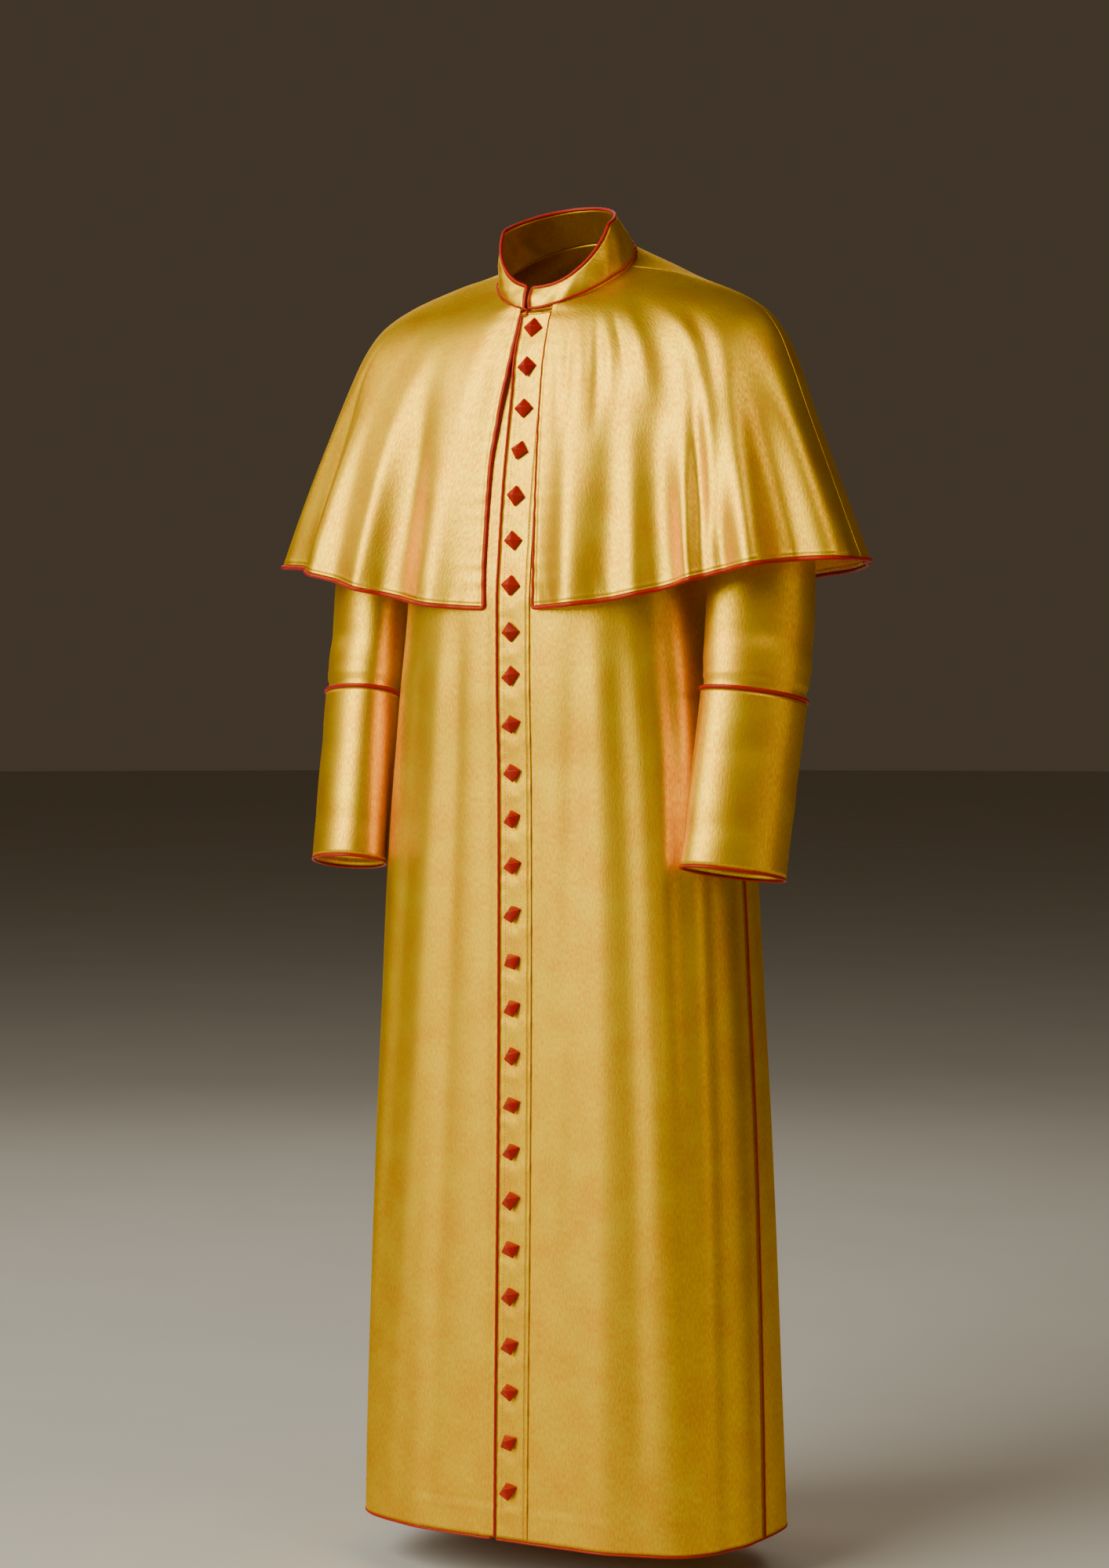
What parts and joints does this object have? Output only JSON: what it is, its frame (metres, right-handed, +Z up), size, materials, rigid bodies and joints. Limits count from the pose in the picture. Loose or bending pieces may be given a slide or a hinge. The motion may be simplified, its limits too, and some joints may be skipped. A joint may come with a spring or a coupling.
{
  "type": "worn cassock with shoulder cape",
  "caption": "Floor-length gold satin cassock with an elbow-length shoulder cape, deep cuffs, a stand collar, red piping and a full row of red covered buttons, in its worn, hollow form.",
  "frame": {"origin": "the middle of the collar base, where the wearer's neck and shoulders carry the garment", "axes": "+Z up along the standing garment, -Y to its front, +X to the wearer's left"},
  "size_m": [0.7379, 0.367, 1.4832],
  "materials": {
    "gold_satin": "glossy gold satin with a fine grain",
    "red_cord": "piping cord covered in deep red satin",
    "red_button": "pyramid button covered in deep red satin"
  },
  "bodies": {
    "root": {"front_left": "gold_satin", "front_right": "gold_satin", "back_left": "gold_satin", "back_right": "gold_satin", "placket": "gold_satin", "sleeve_left": "gold_satin", "sleeve_right": "gold_satin", "cuff_left": "gold_satin", "cuff_right": "gold_satin", "collar": "gold_satin", "cape_front_left": "gold_satin", "cape_front_right": "gold_satin", "cape_back": "gold_satin", "piping_collar": "red_cord", "piping_neck": "red_cord", "piping_cape": "red_cord", "piping_front": "red_cord", "piping_hem": "red_cord", "piping_side_left": "red_cord", "piping_side_right": "red_cord", "piping_cuff_top_left": "red_cord", "piping_cuff_top_right": "red_cord", "piping_cuff_hem_left": "red_cord", "piping_cuff_hem_right": "red_cord", "collar_loop": "red_cord", "button_01": "red_button", "button_02": "red_button", "button_03": "red_button", "button_04": "red_button", "button_05": "red_button", "button_06": "red_button", "button_07": "red_button", "button_08": "red_button", "button_09": "red_button", "button_10": "red_button", "button_11": "red_button", "button_12": "red_button", "button_13": "red_button", "button_14": "red_button", "button_15": "red_button", "button_16": "red_button", "button_17": "red_button", "button_18": "red_button", "button_19": "red_button", "button_20": "red_button", "button_21": "red_button", "button_22": "red_button", "button_23": "red_button", "button_24": "red_button", "button_25": "red_button", "button_26": "red_button"}
  },
  "joints": []
}
